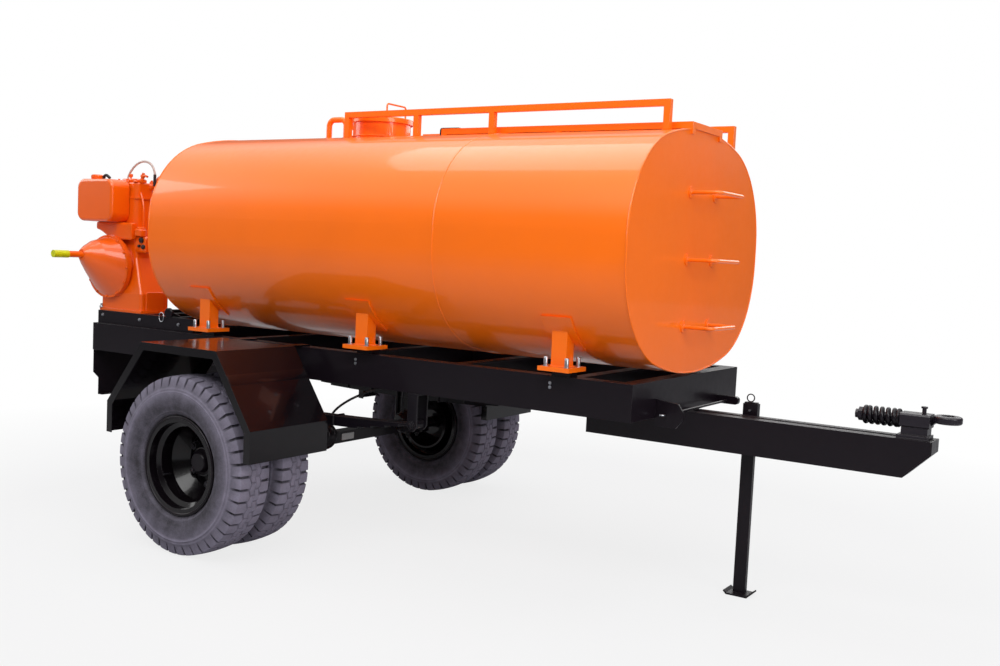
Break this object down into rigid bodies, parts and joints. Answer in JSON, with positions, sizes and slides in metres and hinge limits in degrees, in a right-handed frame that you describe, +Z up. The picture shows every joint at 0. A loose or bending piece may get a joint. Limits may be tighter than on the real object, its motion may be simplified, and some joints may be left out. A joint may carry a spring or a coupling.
{
  "type": "tank trailer",
  "caption": "Towed tank trailer: oval tank with manhole, walkway rails and front steps on a channel frame, twin tyres on one axle, sprung tow eye, prop stand, engine at the rear.",
  "frame": {"origin": "on the floor, under the middle of the whole trailer's length and width", "axes": "+X forward along the drawbar towards the tow eye, +Y to the trailer's left side, +Z up"},
  "size_m": [4.527, 2.29, 2.147],
  "materials": {
    "orange_paint": "gloss enamel",
    "black_paint": "satin enamel",
    "guard_paint": "satin enamel",
    "tyre_rubber": "dusty",
    "spring_steel": "satin",
    "coupling_steel": "satin",
    "engine_orange": "gloss enamel on castings",
    "sleeve_plastic": "gloss",
    "clear_hose": "translucent, modelled opaque",
    "lamp_plastic": "gloss"
  },
  "bodies": {
    "chassis": {"axle_beam": "black_paint", "breather_pipe": "orange_paint", "crankcase": "engine_orange", "cross_members": "black_paint", "cylinder": "engine_orange", "draw_housing": "coupling_steel", "draw_spring": "coupling_steel", "drawbar": "black_paint", "drawbar_end": "black_paint", "edge_rail": "orange_paint", "end_beams": "black_paint", "engine_base": "black_paint", "fan_cowl": "engine_orange", "front_lugs": "black_paint", "front_steps": "orange_paint", "fuel_bracket": "engine_orange", "fuel_hose": "clear_hose", "fuel_tank": "engine_orange", "handrail": "orange_paint", "leaf_springs": "spring_steel", "lock_pin": "coupling_steel", "manhole_neck": "orange_paint", "mudguard_left": "guard_paint", "mudguard_right": "guard_paint", "rear_panel": "black_paint", "shaft_sleeve": "sleeve_plastic", "side_rails": "black_paint", "spring_clamps": "spring_steel", "spring_hangers": "spring_steel", "stand_sleeve": "black_paint", "starting_shaft": "engine_orange", "support_packers": "black_paint", "tail_lamps": "lamp_plastic", "tank_barrel_front": "orange_paint", "tank_barrel_rear": "orange_paint", "tank_front_end": "orange_paint", "tank_rear_end": "orange_paint", "tank_supports": "orange_paint", "tow_eye": "coupling_steel", "walkway_frame": "orange_paint"},
    "wheel_right": {"tyre_outer_right": "tyre_rubber", "tyre_inner_right": "tyre_rubber", "rim_outer_right": "guard_paint", "rim_inner_right": "guard_paint", "hub_right": "guard_paint"},
    "wheel_left": {"tyre_outer_left": "tyre_rubber", "tyre_inner_left": "tyre_rubber", "rim_outer_left": "guard_paint", "rim_inner_left": "guard_paint", "hub_left": "guard_paint"},
    "stand": {"stand_leg": "black_paint", "stand_ring": "black_paint"},
    "lid": {"manhole_lid": "orange_paint", "lid_handle": "orange_paint"}
  },
  "joints": [
    {"name": "wheel_right_spin", "type": "hinge", "parent": "chassis", "child": "wheel_right", "pos_m": [-0.7795, -0.9145, 0.405], "axis": [0, 1, 0], "continuous": true},
    {"name": "wheel_left_spin", "type": "hinge", "parent": "chassis", "child": "wheel_left", "pos_m": [-0.7795, 0.9145, 0.405], "axis": [0, 1, 0], "continuous": true},
    {"name": "stand_lift", "type": "slide", "parent": "chassis", "child": "stand", "axis": [0, 0, 1], "range_m": [0, 0.56]},
    {"name": "lid_hinge", "type": "hinge", "parent": "chassis", "child": "lid", "pos_m": [-0.7775, 0, 2.069], "axis": [0, -1, 0], "range_deg": [0, 120]}
  ]
}
